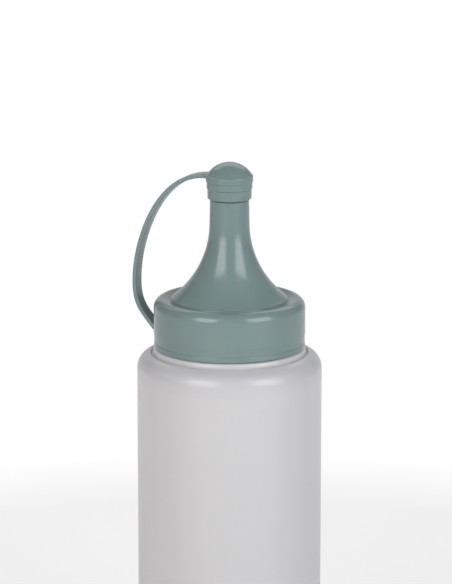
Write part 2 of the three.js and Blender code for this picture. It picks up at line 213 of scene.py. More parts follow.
class BottleSizes(bpy.types.PropertyGroup):
    body_height: length("Body height", "From the base to the start of the shoulder", 118)
    body_wall: length("Body wall", "Thickness of the blown wall", 1.0)
    heel_radius: length("Heel radius", "Rounding between the base and the side", 4.5)
    foot_inner_radius: length("Foot inner radius", "Inner edge of the ring that the bottle stands on", 24.5)
    push_up: length("Push-up", "Height of the hollow under the base", 3.0)
    shoulder_run: length("Shoulder run", "How far the shoulder comes in", 6.7)
    shoulder_rise: length("Shoulder rise", "How far the shoulder rises", 6.0)
    shoulder_extra_wall: length("Shoulder extra wall", "Added thickness of the wall at the shoulder", 1.3)
    collar_radius: length("Collar radius", "Radius of the band under the cap", 27.4)
    collar_height: length("Collar height", "Height of that band over the groove", 3.0)
    collar_rounding: length("Collar rounding", "Rounding of its upper edge", 1.3)
    groove_depth: length("Groove depth", "How far the groove dips below the shoulder", 1.0)
    groove_width: length("Groove width", "Width of the groove round the collar", 1.0)
    neck_wall: length("Neck wall", "Thickness of the neck", 1.7)
    lip_rounding: length("Lip rounding", "Rounding of the neck's upper edge", 0.5)
    segments: whole("Segments", "Faces round the bottle", 176)


class ThreadSizes(bpy.types.PropertyGroup):
    pitch: length("Pitch", "Rise of the thread in one turn", 4.0)
    turns: bpy.props.FloatProperty(name="Turns", description="Length of the thread in turns", default=1.75)
    height: length("Height", "How far the ridge stands out of the wall", 1.3)
    base: length("Base", "Width of the ridge at the wall", 2.0)
    crest: length("Crest", "Width of the ridge's top", 1.0)
    clearance: length("Clearance", "From the crest to the other piece's wall", 0.4)
    flank_clearance: length("Flank clearance", "Between the flanks when the cap is tight", 0.3)
    neck_start: length("Neck start", "Middle of the neck's first turn over the skirt's lower edge", 2.6)
    root_sunk: length("Root depth", "How far the ridge's root lies inside the wall", 0.35)
    run_out: bpy.props.FloatProperty(
        name="Run-out", description="Part of a turn over which an end fades into the wall", default=0.12)
    cap_start_turn: bpy.props.FloatProperty(
        name="Cap start", description="Where the cap's thread starts, in turns", default=0.4)


class NozzleSizes(bpy.types.PropertyGroup):
    skirt_height: length("Skirt height", "Height of the plain skirt", 17.3)
    skirt_wall: length("Skirt wall", "Thickness of the skirt", 1.6)
    skirt_rounding: length("Skirt rounding", "Rounding of the skirt's upper edge", 3.3)
    bead_height: length("Bead height", "Height of the rolled lower edge", 1.7)
    bead_rounding: length("Bead rounding", "Rounding of that edge", 0.3)
    waist_depth: length("Waist depth", "Depth of the shallow waist above the bead", 0.15)
    waist_height: length("Waist height", "Upper end of the waist over the lower edge", 3.2)
    top_dish: length("Top dish", "Fall of the top from the rim to the cone's foot", 0.8)
    top_thickness: length("Top thickness", "Thickness of the top", 1.8)
    cone_foot_radius: length("Cone foot radius", "Radius of the cone at its foot", 20.8)
    cone_foot_land: length("Cone foot land", "Short upright step at the cone's foot", 0.9)
    flare_radius: length("Flare radius", "Radius of the hollow arc of the cone's side", 34)
    tube_radius: length("Tube radius", "Where the arc runs into the tube", 7.15)
    tube_top_radius: length("Tube top radius", "Upper end of the tube", 6.95)
    tube_length: length("Tube length", "Length of the tube over the arc", 8.4)
    wall: length("Wall", "Thickness of the cone", 1.6)
    spout_radius: length("Spout radius", "Radius of the spout under the tip cap", 6.3)
    spout_wall: length("Spout wall", "Thickness of the spout", 1.4)
    spout_roof: length("Spout roof", "Thickness round the orifice", 1.5)
    spout_rounding: length("Spout rounding", "Rounding of the spout's upper edge", 0.8)
    orifice_radius: length("Orifice radius", "Radius of the hole that the oil leaves by", 2.2)
    funnel_height: length("Funnel height", "Height of the funnel under the orifice", 3.0)
    seat_gap: length("Seat gap", "Between pieces that touch", 0.3)
    segments: whole("Segments", "Faces round the nozzle cap", 176)


class TipSizes(bpy.types.PropertyGroup):
    grip_radius: length("Grip radius", "Radius of the lowest band", 7.87)
    grip_height: length("Grip height", "Height of the lowest band", 3.7)
    band_radius: length("Band radius", "Radius of the middle band", 8.15)
    band_height: length("Band height", "Height of the middle band", 2.4)
    flange_height: length("Flange height", "Height of the top band", 2.6)
    edge_rounding: length("Edge rounding", "Rounding of the lower edge", 0.7)
    step_bevel: length("Step bevel", "Slant of each step between the bands", 0.25)
    dome_radius: length("Dome radius", "Radius of the dome at its foot", 8.0)
    dome_wall: length("Dome wall", "Thickness of the dome", 1.2)
    clearance: length("Clearance", "Between the spout and the tip cap", 0.4)
    plug_reach: length("Plug reach", "How deep the plug goes into the orifice", 2.0)
    plug_clearance: length("Plug clearance", "Between the plug and the orifice", 0.3)
    segments: whole("Segments", "Faces round the tip cap", 128)


class StrapSizes(bpy.types.PropertyGroup):
    width: length("Width", "Width of the strap", 5.2)
    thickness: length("Thickness", "Thickness of the strap", 1.55)
    rounding: length("Rounding", "Rounding of its corners", 0.35)
    turn: bpy.props.FloatProperty(
        name="Turn", description="Plane of the strap, turned from -X towards +Y",
        default=math.radians(22), subtype="ANGLE")
    reach: length("Reach", "Farthest that its middle line gets from the axis", 36)
    reach_drop: length("Reach drop", "That point, below the flange's top", 41.3)
    root_height: length("Root height", "Middle of its root over the skirt's lower edge", 3.3)
    top_handle: length("Top handle", "How long it leaves the flange level", 18.3)
    upper_handle: length("Upper handle", "How long it stays upright above its reach", 15.3)
    lower_handle: length("Lower handle", "How long it stays upright below its reach", 8.9)
    root_handle: length("Root handle", "How long it keeps its slant before the skirt", 6.3)
    root_flare: length("Root flare", "Added width where it joins the skirt", 1.6)
    flange_flare: length("Flange flare", "Added width where it joins the flange", 1.0)
    sunk: length("Sunk", "How far each end reaches into its wall", 0.8)
    steps: whole("Steps", "Faces along the strap", 160)


class BottleColours(bpy.types.PropertyGroup):
    green: colour("Green", "Cap plastic", "#6f8381")
    green_deep: colour("Deep green", "Where the pigment lies denser", "#6c7f7e")
    milk: colour("Milk", "Bottle plastic", "#bfbebf")
    # Darker milk: painted shade over the shoulder and in the groove under the cap, partly also the wall's
    # greater thickness there; the foam's cells take it too
    milk_shade_and_thick_wall: colour("Dense milk", "Where the bottle's wall is thicker", "#b2b2b5")
    foam: colour("Foam", "Seal ring", "#dcdcd8")


def settings():
    """The property groups, and the heights that follow from them."""
    scene = bpy.context.scene
    bottle = scene.oil_bottle_body
    nozzle = scene.oil_bottle_nozzle
    tip = scene.oil_bottle_tip
    thread = scene.oil_bottle_thread
    skirt_inner = SKIRT_RADIUS - nozzle.skirt_wall
    neck_radius = skirt_inner - thread.clearance - thread.height
    shoulder_inner = BODY_RADIUS - bottle.shoulder_run
    groove_radius = bottle.collar_radius + bottle.groove_width / 2
    lip_share = (groove_radius + bottle.groove_width / 2 - shoulder_inner) / bottle.shoulder_run
    groove_lip_angle = math.acos(lip_share)
    groove_z = bottle.body_height + bottle.shoulder_rise * math.sin(groove_lip_angle) - bottle.groove_depth
    rim_z = SKIRT_Z + nozzle.skirt_height
    cone_foot_z = rim_z - nozzle.top_dish
    flare_centre = nozzle.tube_radius + nozzle.flare_radius
    flare_foot_angle = math.acos((flare_centre - nozzle.cone_foot_radius) / nozzle.flare_radius)
    flare_z = cone_foot_z + nozzle.cone_foot_land + nozzle.flare_radius * math.sin(flare_foot_angle)
    return SimpleNamespace(
        bottle=bottle,
        nozzle=nozzle,
        tip=tip,
        thread=thread,
        strap=scene.oil_bottle_strap,
        colours=scene.oil_bottle_colours,
        skirt_inner=skirt_inner,
        neck_radius=neck_radius,
        neck_bore=neck_radius - bottle.neck_wall,
        shoulder_inner=shoulder_inner,
        groove_radius=groove_radius,
        groove_lip_angle=groove_lip_angle,
        groove_z=groove_z,
        collar_top_z=groove_z + bottle.collar_height,
        rim_z=rim_z,
        cone_foot_z=cone_foot_z,
        top_underside_z=cone_foot_z - nozzle.top_thickness,
        flare_centre=flare_centre,
        flare_foot_angle=flare_foot_angle,
        flare_z=flare_z,
        shoulder_step_z=flare_z + nozzle.tube_length,
        flange_top_z=TIP_Z + tip.grip_height + tip.band_height + tip.flange_height,
    )


def add_object(name, data):
    """A new object of the scene that holds the given data."""
    made = bpy.data.objects.new(name, data)
    bpy.context.scene.collection.objects.link(made)
    return made


def arc(centre_r, centre_z, radius_r, radius_z, start, end, steps):
    """Points of a stretch of an ellipse, from one angle to another."""
    angles = [start + (end - start) * i / steps for i in range(steps + 1)]
    return [(centre_r + radius_r * math.cos(a), centre_z + radius_z * math.sin(a)) for a in angles]


def rounded(corners):
    """An outline in which each corner given as (r, z, fillet) is rounded by that radius."""
    points = []
    count = len(corners)
    for i, corner in enumerate(corners):
        here = Vector(corner[:2])
        if len(corner) == 2:
            points.append(tuple(here))
            continue
        to_last = (Vector(corners[i - 1][:2]) - here).normalized()
        to_next = (Vector(corners[(i + 1) % count][:2]) - here).normalized()
        half = to_last.angle(to_next) / 2
        middle = here + (to_last + to_next).normalized() * (corner[2] / math.sin(half))
        first = here + to_last * (corner[2] / math.tan(half)) - middle
        sweep = first.angle_signed(here + to_next * (corner[2] / math.tan(half)) - middle)
        for step in range(FILLET_STEPS + 1):
            points.append(tuple(middle + Matrix.Rotation(-sweep * step / FILLET_STEPS, 2) @ first))
    return points


def supported(points, closed):
    """The outline with a point close to both ends of each long stretch, which keeps its shading flat."""
    made = []
    count = len(points)
    for i, start in enumerate(points):
        made.append(start)
        if i == count - 1 and not closed:
            break
        a = Vector(start)
        b = Vector(points[(i + 1) % count])
        span = (b - a).length
        if span > LONG_STRETCH:
            along = (b - a) / span
            made.append(tuple(a + along * SUPPORT))
            made.append(tuple(b - along * SUPPORT))
    return made


def line_mesh(name, points, closed=False):
    """A polyline as a mesh of edges."""
    mesh = bpy.data.meshes.new(name)
    edges = [(i, i + 1) for i in range(len(points) - 1)]
    if closed:
        edges.append((len(points) - 1, 0))
    mesh.from_pydata(points, edges, [])
    return mesh


def outline_mesh(name, corners, closed):
    """An outline with its corners rounded: x is the distance from the axis and y the height."""
    points = supported(rounded(corners), closed)
    return line_mesh(name, [(r, z, 0) for r, z in points], closed)


def fill(tree, node, inputs):
    """Gives each named or numbered input of a node a value or a link."""
    for name, value in inputs.items():
        if isinstance(value, bpy.types.NodeSocket):
            tree.links.new(value, node.inputs[name])
        else:
            node.inputs[name].default_value = value


def add_node(tree, kind, inputs=None, **choices):
    """Adds a node, makes its choices and fills its inputs."""
    node = tree.nodes.new(kind)
    for name, value in choices.items():
        setattr(node, name, value)
    fill(tree, node, inputs or {})
    return node


def result(tree, kind, inputs=None, **choices):
    """The first output of a new node."""
    return add_node(tree, kind, inputs, **choices).outputs[0]


def maths(tree, operation, *values):
    """What the operation makes of the values and sockets."""
    return result(tree, "ShaderNodeMath", dict(enumerate(values)), operation=operation)


def vector(tree, **parts):
    """A vector with the given parts, the others 0."""
    return result(tree, "ShaderNodeCombineXYZ", parts)


def geometry_tree(name, inputs):
    """An empty geometry node tree with its named inputs, and the sockets that bring them in."""
    tree = bpy.data.node_groups.new(name, "GeometryNodeTree")
    tree.interface.new_socket(name="Geometry", in_out="OUTPUT", socket_type="NodeSocketGeometry")
    tree.interface.new_socket(name="Geometry", in_out="INPUT", socket_type="NodeSocketGeometry")
    for label, kind in inputs.items():
        tree.interface.new_socket(name=label, in_out="INPUT", socket_type="NodeSocket" + kind)
    return tree, add_node(tree, "NodeGroupInput").outputs


def end_tree(tree, mesh, material):
    """Smooth faces with crisp corners, real geometry and the material: the last nodes of each tree."""
    smooth = result(tree, "GeometryNodeSetShadeSmooth", {"Geometry": mesh, "Shade Smooth": True})
    angle = add_node(tree, "GeometryNodeInputMeshEdgeAngle").outputs["Unsigned Angle"]
    sharp = result(tree, "FunctionNodeCompare", {0: angle, 1: SMOOTH_LIMIT}, operation="GREATER_THAN")
    crisp = result(
        tree, "GeometryNodeSetShadeSmooth",
        {"Geometry": smooth, "Selection": sharp, "Shade Smooth": False}, domain="EDGE")
    real = result(tree, "GeometryNodeRealizeInstances", {"Geometry": crisp})
    coated = result(tree, "GeometryNodeSetMaterial", {"Geometry": real, "Material": material})
    add_node(tree, "NodeGroupOutput", {"Geometry": coated})


def turned_wall(tree, outline, segments):
    """Turns an outline of edges, x from the axis and y up, round the Z axis."""
    curve = result(tree, "GeometryNodeMeshToCurve", {"Mesh": outline})
    upside_down = result(
        tree, "GeometryNodeTransform",
        {"Geometry": curve, "Translation": (-SWEEP_RADIUS, 0, 0), "Scale": (1, -1, 1)})
    circle = result(
        tree, "GeometryNodeCurvePrimitiveCircle", {"Resolution": segments, "Radius": SWEEP_RADIUS})
    swept = result(tree, "GeometryNodeCurveToMesh", {"Curve": circle, "Profile Curve": upside_down})
    outwards = result(tree, "GeometryNodeFlipFaces", {"Mesh": swept})
    return result(
        tree, "GeometryNodeMergeByDistance", {"Geometry": outwards, "Distance": MERGE_DISTANCE})


def thread_ridge(tree, sizes):
    """A ridge that winds up round the Z axis as a right-hand thread and fades out at both ends."""
    rise = maths(tree, "MULTIPLY", sizes["Pitch"], sizes["Turns"])
    helix = result(
        tree, "GeometryNodeCurveSpiral",
        {"Resolution": sizes["Segments"], "Rotations": sizes["Turns"], "Height": rise, "Reverse": True,
         "Start Radius": sizes["Root Radius"], "End Radius": sizes["Root Radius"]})
    level = result(tree, "GeometryNodeSetCurveNormal", {"Curve": helix}, mode="Z_UP")
    section = result(
        tree, "GeometryNodeCurvePrimitiveQuadrilateral",
        {"Bottom Width": sizes["Base"], "Top Width": sizes["Crest"], "Height": sizes["Height"],
         "Offset": 0.0}, mode="TRAPEZOID")
    soft = result(
        tree, "GeometryNodeFilletCurve",
        {"Curve": section, "Radius": CREASE_FILLET, "Limit Radius": True, "Count": RIDGE_FILLET_STEPS},
        mode="POLY")
    half_height = maths(tree, "MULTIPLY", sizes["Height"], 0.5)
    on_root = result(
        tree, "GeometryNodeTransform", {"Geometry": soft, "Translation": vector(tree, Y=half_height)})
    quarter_turn = maths(tree, "MULTIPLY", sizes["Outward"], -HALF_PI)
    facing = result(
        tree, "GeometryNodeTransform", {"Geometry": on_root, "Rotation": vector(tree, Z=quarter_turn)})
    share = add_node(tree, "GeometryNodeSplineParameter").outputs["Factor"]
    from_end = maths(tree, "MINIMUM", share, maths(tree, "SUBTRACT", 1.0, share))
    fade = maths(tree, "DIVIDE", maths(tree, "MULTIPLY", from_end, sizes["Turns"]), sizes["Run-out"])
    scale = maths(tree, "MAXIMUM", maths(tree, "MINIMUM", fade, 1.0), THREAD_END_SCALE)
    ridge = result(
        tree, "GeometryNodeCurveToMesh",
        {"Curve": level, "Profile Curve": facing, "Scale": scale, "Fill Caps": True})
    turn = maths(tree, "MULTIPLY", sizes["Start Turn"], 2 * math.pi)
    climb = maths(tree, "MULTIPLY", sizes["Pitch"], sizes["Start Turn"])
    height = maths(tree, "ADD", sizes["Start Height"], climb)
    placed = result(
        tree, "GeometryNodeTransform",
        {"Geometry": ridge, "Translation": vector(tree, Z=height), "Rotation": vector(tree, Z=turn)})
    return result(tree, "GeometryNodeFlipFaces", {"Mesh": placed})


def turned_tree():
    tree, sockets = geometry_tree("Turned wall", {"Segments": "Int", "Material": "Material"})
    wall = turned_wall(tree, sockets["Geometry"], sockets["Segments"])
    end_tree(tree, wall, sockets["Material"])
    return tree


def threaded_tree():
    tree, sockets = geometry_tree("Threaded wall", {
        "Segments": "Int", "Pitch": "Float", "Turns": "Float", "Root Radius": "Float", "Height": "Float",
        "Base": "Float", "Crest": "Float", "Outward": "Float", "Run-out": "Float", "Start Turn": "Float",
        "Start Height": "Float", "Material": "Material"})
    wall = turned_wall(tree, sockets["Geometry"], sockets["Segments"])
    ridge = thread_ridge(tree, sockets)
    union = add_node(tree, "GeometryNodeMeshBoolean", operation="UNION", solver="MANIFOLD")
    for mesh in (wall, ridge):
        tree.links.new(mesh, union.inputs["Mesh 2"])
    end_tree(tree, union.outputs["Mesh"], sockets["Material"])
    return tree


def band_tree():
    """A flat band along a path in the XZ plane, wider at both ends, turned round Z at the end."""
    tree, sockets = geometry_tree("Band along a path", {
        "Width": "Float", "Thickness": "Float", "Rounding": "Float", "Start Flare": "Float",
        "End Flare": "Float", "Turn": "Float", "Material": "Material"})
    path = result(tree, "GeometryNodeMeshToCurve", {"Mesh": sockets["Geometry"]})
    capture = add_node(tree, "GeometryNodeCaptureAttribute", {"Geometry": path})
    capture.capture_items.new("FLOAT", "Share")
    share = add_node(tree, "GeometryNodeSplineParameter").outputs["Factor"]
    tree.links.new(share, capture.inputs["Share"])
    section = result(
        tree, "GeometryNodeCurvePrimitiveQuadrilateral",
        {"Width": sockets["Width"], "Height": sockets["Thickness"]})
    soft = result(
        tree, "GeometryNodeFilletCurve",
        {"Curve": section, "Radius": sockets["Rounding"], "Count": FILLET_STEPS}, mode="POLY")
    band = result(
        tree, "GeometryNodeCurveToMesh",
        {"Curve": capture.outputs["Geometry"], "Profile Curve": soft, "Fill Caps": True})
    flares = []
    for name, low_share, high_share in (
            ("Start Flare", FLANGE_FLARE_END, 0.0), ("End Flare", ROOT_FLARE_START, 1.0)):
        eased = result(
            tree, "ShaderNodeMapRange",
            {"Value": capture.outputs["Share"], "From Min": low_share, "From Max": high_share},
            interpolation_type="SMOOTHSTEP")
        flares.append(maths(tree, "MULTIPLY", eased, sockets[name]))
    added = maths(tree, "ADD", *flares)
    wider = maths(tree, "ADD", 1.0, maths(tree, "DIVIDE", added, sockets["Width"]))
    here = result(tree, "GeometryNodeInputPosition")
    factors = vector(tree, X=1.0, Y=wider, Z=1.0)
    place = result(tree, "ShaderNodeVectorMath", {0: here, 1: factors}, operation="MULTIPLY")
    flared = result(tree, "GeometryNodeSetPosition", {"Geometry": band, "Position": place})
    turned = result(
        tree, "GeometryNodeTransform",
        {"Geometry": flared, "Rotation": vector(tree, Z=sockets["Turn"])})
    end_tree(tree, turned, sockets["Material"])
    return tree


def plain_piece(name, tree, start_mesh, values):
    """Runs a tree on a mesh, keeps the result as a plain mesh and checks that it is closed."""
    piece = add_object(name, start_mesh)
    modifier = piece.modifiers.new("Shape", "NODES")
    modifier.node_group = tree
    for item in tree.interface.items_tree:
        if item.in_out == "INPUT" and item.name in values:
            modifier[item.identifier] = values[item.name]
    depsgraph = bpy.context.evaluated_depsgraph_get()
    made = bpy.data.meshes.new_from_object(
        piece.evaluated_get(depsgraph), preserve_all_data_layers=True, depsgraph=depsgraph)
    piece.modifiers.remove(modifier)
    piece.data = made
    made.name = name
    bm = bmesh.new()
    bm.from_mesh(made)
    open_edges = [e for e in bm.edges if len(e.link_faces) != 2]
    volume = bm.calc_volume(signed=True)
    bm.free()
    if open_edges or volume <= 0:
        raise RuntimeError(
            f"{name} isn't closed or is inside out: {len(open_edges)} open edges, volume {volume}")
    print(f"{name}: {len(made.vertices)} vertices, {len(made.polygons)} faces, {volume * CUBIC_MM:.0f} mm3")
    return piece


def body_line(s, inset, shoulder):
    """Base, heel, side and shoulder of the bottle, from the axis up; inset is the depth under the skin."""
    b = s.bottle
    base = [
        (b.foot_inner_radius * i / PUSH_UP_STEPS, inset + b.push_up * math.cos(i / PUSH_UP_STEPS * HALF_PI))
        for i in range(PUSH_UP_STEPS)]
    heel = b.heel_radius - inset
    return [
        *base,
        (b.foot_inner_radius, inset),
        *arc(BODY_RADIUS - b.heel_radius, b.heel_radius, heel, heel, -HALF_PI, 0, HEEL_STEPS),
        *shoulder]


def bottle_outline(s):
    """From the middle of the base up the outside, over the lip and down the inside."""
    b = s.bottle
    groove_floor_z = s.groove_z + GROOVE_SOFTENED
    half_groove = b.groove_width / 2
    outer_shoulder = arc(
        s.shoulder_inner, b.body_height, b.shoulder_run, b.shoulder_rise, 0, s.groove_lip_angle,
        SHOULDER_STEPS)
    inner_rise = b.shoulder_rise - b.body_wall - b.shoulder_extra_wall
    inner_shoulder = arc(
        s.shoulder_inner, b.body_height, b.shoulder_run - b.body_wall, inner_rise, 0, HALF_PI,
        SHOULDER_INSIDE_STEPS)
    neck = [
        (s.groove_radius - half_groove / 2, groove_floor_z, GROOVE_FILLET),
        (b.collar_radius, groove_floor_z + b.groove_depth / 3, GROOVE_FILLET),
        *arc(b.collar_radius - b.collar_rounding, s.collar_top_z - b.collar_rounding,
             b.collar_rounding, b.collar_rounding, 0, HALF_PI, EDGE_STEPS),
        (s.neck_radius, s.collar_top_z, CREASE_FILLET),
        *arc(s.neck_radius - b.lip_rounding, LIP_Z - b.lip_rounding,
             b.lip_rounding, b.lip_rounding, 0, HALF_PI, LIP_STEPS),
        *arc(s.neck_bore + b.lip_rounding, LIP_Z - b.lip_rounding,
             b.lip_rounding, b.lip_rounding, HALF_PI, math.pi, LIP_STEPS),
        (s.neck_bore, s.collar_top_z)]
    return [
        *body_line(s, 0, outer_shoulder),
        *neck,
        *reversed(body_line(s, b.body_wall, inner_shoulder))]


def nozzle_outline(s):
    """From the skirt's lower edge up the outside, through the orifice and down the inside."""
    n = s.nozzle
    waist = SKIRT_RADIUS - n.waist_depth
    bead_top = SKIRT_Z + n.bead_height
    waist_z = SKIRT_Z + n.waist_height
    inner_flare = n.flare_radius + n.wall
    inner_foot = n.cone_foot_radius - n.seat_gap
    inner_foot_angle = math.acos((s.flare_centre - inner_foot) / inner_flare)
    roof_z = SPOUT_TOP_Z - n.spout_roof
    edge_z = SKIRT_Z - SEAM_CLOSED
    return [
        (s.skirt_inner, edge_z, STEP_FILLET),
        *arc(SKIRT_RADIUS - n.bead_rounding, edge_z + n.bead_rounding,
             n.bead_rounding, n.bead_rounding, -HALF_PI, 0, EDGE_STEPS),
        (waist, bead_top - n.waist_depth, STEP_FILLET),
        (waist - EDGE_LINE_DEPTH, bead_top, STEP_FILLET),
        (waist, bead_top + EDGE_LINE_DEPTH, STEP_FILLET),
        (waist, waist_z, STEP_FILLET),
        (SKIRT_RADIUS, waist_z + n.bead_height),
        *arc(SKIRT_RADIUS - n.skirt_rounding, s.rim_z - n.skirt_rounding,
             n.skirt_rounding, n.skirt_rounding, 0, HALF_PI, RIM_STEPS),
        (n.cone_foot_radius, s.cone_foot_z, CREASE_FILLET),
        *arc(s.flare_centre, s.flare_z, n.flare_radius, n.flare_radius,
             math.pi + s.flare_foot_angle, math.pi, FLARE_STEPS),
        (n.tube_top_radius, s.shoulder_step_z, STEP_FILLET),
        (n.spout_radius, s.shoulder_step_z, STEP_FILLET),
        *arc(n.spout_radius - n.spout_rounding, SPOUT_TOP_Z - n.spout_rounding,
             n.spout_rounding, n.spout_rounding, 0, HALF_PI, EDGE_STEPS),
        (n.orifice_radius, SPOUT_TOP_Z, STEP_FILLET),
        (n.orifice_radius, roof_z),
        (n.spout_radius - n.spout_wall, roof_z - n.funnel_height),
        *arc(s.flare_centre, s.flare_z, inner_flare, inner_flare,
             math.pi, math.pi + inner_foot_angle, FLARE_INSIDE_STEPS),
        (inner_foot, s.top_underside_z, STEP_FILLET),
        (s.skirt_inner, s.top_underside_z, CREASE_FILLET)]


def tip_outline(s):
    """From the plug's end over the hollow's roof, down the bore and up the outside to the dome's top."""
    t = s.tip
    n = s.nozzle
    band_z = TIP_Z + t.grip_height
    flange_z = band_z + t.band_height
    dome_height = DOME_TOP_Z - s.flange_top_z
    sphere = (t.dome_radius ** 2 + dome_height ** 2) / (2 * dome_height)
    bore = n.spout_radius + t.clearance
    plug = n.orifice_radius - t.plug_clearance
    plug_z = SPOUT_TOP_Z - t.plug_reach
    plug_bevel = plug / 4
    return [
        (0, plug_z),
        (plug - plug_bevel, plug_z),
        (plug, plug_z + plug_bevel),
        *arc(0, s.flange_top_z, bore, dome_height - t.dome_wall,
             math.acos(plug / bore), 0, DOME_INSIDE_STEPS),
        (bore, TIP_Z, STEP_FILLET),
        *arc(t.grip_radius - t.edge_rounding, TIP_Z + t.edge_rounding,
             t.edge_rounding, t.edge_rounding, -HALF_PI, 0, EDGE_STEPS),
        (t.grip_radius, band_z, STEP_FILLET),
        (t.band_radius, band_z + t.step_bevel, STEP_FILLET),
        (t.band_radius, flange_z, STEP_FILLET),
        (TIP_FLANGE_RADIUS, flange_z + t.step_bevel, STEP_FILLET),
        (TIP_FLANGE_RADIUS, s.flange_top_z, STEP_FILLET + t.step_bevel),
        (t.dome_radius, s.flange_top_z, STEP_FILLET / 2),
        *arc(0, DOME_TOP_Z - sphere, sphere, sphere,
             math.acos(t.dome_radius / sphere), HALF_PI, DOME_STEPS)[1:]]


def seal_outline(s):
    """A flat ring over the lip that reaches in past the bore."""
    inner = s.neck_bore - SEAL_INNER_OVERHANG
    return [
        (inner, SEAL_LOW_Z, CREASE_FILLET),
        (SEAL_OUTER_RADIUS, SEAL_LOW_Z, CREASE_FILLET),
        (SEAL_OUTER_RADIUS, SEAL_TOP_Z, CREASE_FILLET),
        (inner, SEAL_TOP_Z, CREASE_FILLET)]


def bezier(start, start_handle, end_handle, end, steps):
    """Points of a cubic curve without its last one."""
    points = [Vector(p) for p in (start, start_handle, end_handle, end)]
    made = []
    for i in range(steps):
        t = i / steps
        weights = ((1 - t) ** 3, 3 * t * (1 - t) ** 2, 3 * t * t * (1 - t), t ** 3)
        made.append(sum((w * p for w, p in zip(weights, points)), Vector((0, 0))))
    return made


def strap_path(s):
    """Middle line of the strap in its own plane, from inside the flange to inside the skirt."""
    k = s.strap
    top_z = s.flange_top_z - k.thickness / 2
    reach_z = s.flange_top_z - k.reach_drop
    root_z = SKIRT_Z + k.root_height
    half_wall = s.nozzle.skirt_wall / 2
    upper_steps = round(k.steps * STRAP_UPPER_SHARE)
    return [
        Vector((TIP_FLANGE_RADIUS - k.sunk, top_z)),
        *bezier((TIP_FLANGE_RADIUS, top_z), (TIP_FLANGE_RADIUS + k.top_handle, top_z),
                (k.reach, reach_z + k.upper_handle), (k.reach, reach_z), upper_steps),
        *bezier((k.reach, reach_z), (k.reach, reach_z - k.lower_handle),
                (SKIRT_RADIUS + k.root_handle, root_z + k.root_handle),
                (SKIRT_RADIUS - half_wall, root_z - half_wall), k.steps - upper_steps),
        Vector((SKIRT_RADIUS - half_wall, root_z - half_wall))]


def emptied(owner):
    """The node tree of a new material or world, without its first nodes."""
    owner.use_nodes = True
    owner.node_tree.nodes.clear()
    return owner.node_tree


def new_material(name):
    """A material with its shader, and the object coordinates that its patterns read."""
    material = bpy.data.materials.new(name)
    tree = emptied(material)
    shader = add_node(tree, "ShaderNodeBsdfPrincipled")
    add_node(tree, "ShaderNodeOutputMaterial", {"Surface": shader.outputs[0]})
    place = add_node(tree, "ShaderNodeTexCoord").outputs["Object"]
    return material, tree, shader, place


def pattern(tree, place, size, detail=2.0, stretch=(1, 1, 1)):
    """Soft noise whose patches are about that many metres across, drawn out by stretch."""
    mapped = result(
        tree, "ShaderNodeMapping", {"Vector": place, "Scale": tuple(1 / x for x in stretch)})
    return result(
        tree, "ShaderNodeTexNoise", {"Vector": mapped, "Scale": 1 / size, "Detail": detail})


def between(tree, value, low_end, high_end, from_low=NOISE_RANGE[0], from_high=NOISE_RANGE[1]):
    """The value's place in a range, brought to the range between the two ends and kept in it."""
    ranges = {"From Min": from_low, "From Max": from_high, "To Min": low_end, "To Max": high_end}
    return result(tree, "ShaderNodeMapRange", {"Value": value, **ranges})


def two_tone(tree, share, first, second):
    """A colour that goes from the first to the second as the share grows."""
    mix = add_node(tree, "ShaderNodeMix", {"Factor": share}, data_type="RGBA")
    mix.inputs["A"].default_value = (*first, 1)
    mix.inputs["B"].default_value = (*second, 1)
    return mix.outputs["Result"]


def relief(tree, height, depth):
    """The shading normal of a skin that stands up to that depth proud."""
    return result(tree, "ShaderNodeBump", {"Height": height, "Strength": 1.0, "Distance": depth})


def moulded_polypropylene(s):
    """Injection-moulded polypropylene: a smooth, waxy gloss with broad soft highlights, pigment that lies
    slightly uneven where the plastic flowed, a skin that waves a little because the plastic shrank, and
    very fine level rings from the turned mould."""
    material, tree, shader, place = new_material("injection_moulded_polypropylene")
    flow = pattern(tree, place, FLOW_SIZE, stretch=FLOW_STRETCH)
    shade = two_tone(tree, between(tree, flow, 0, 1), s.colours.green, s.colours.green_deep)
    worn = pattern(tree, place, WEAR_SIZE)
    waves = pattern(tree, place, WAVE_SIZE, detail=1)
    rings = pattern(tree, place, RING_SIZE, detail=1, stretch=RING_STRETCH)
    fill(tree, shader, {
        "Base Color": shade, "Roughness": between(tree, worn, *MOULDED_ROUGHNESS), "IOR": MOULDED_IOR,
        "Subsurface Weight": MOULDED_SUBSURFACE, "Subsurface Radius": (1.0, 1.0, 1.0),
        "Subsurface Scale": MOULDED_SCATTER,
        "Normal": relief(tree, maths(tree, "ADD", waves, rings), SKIN_RELIEF)})
    return material


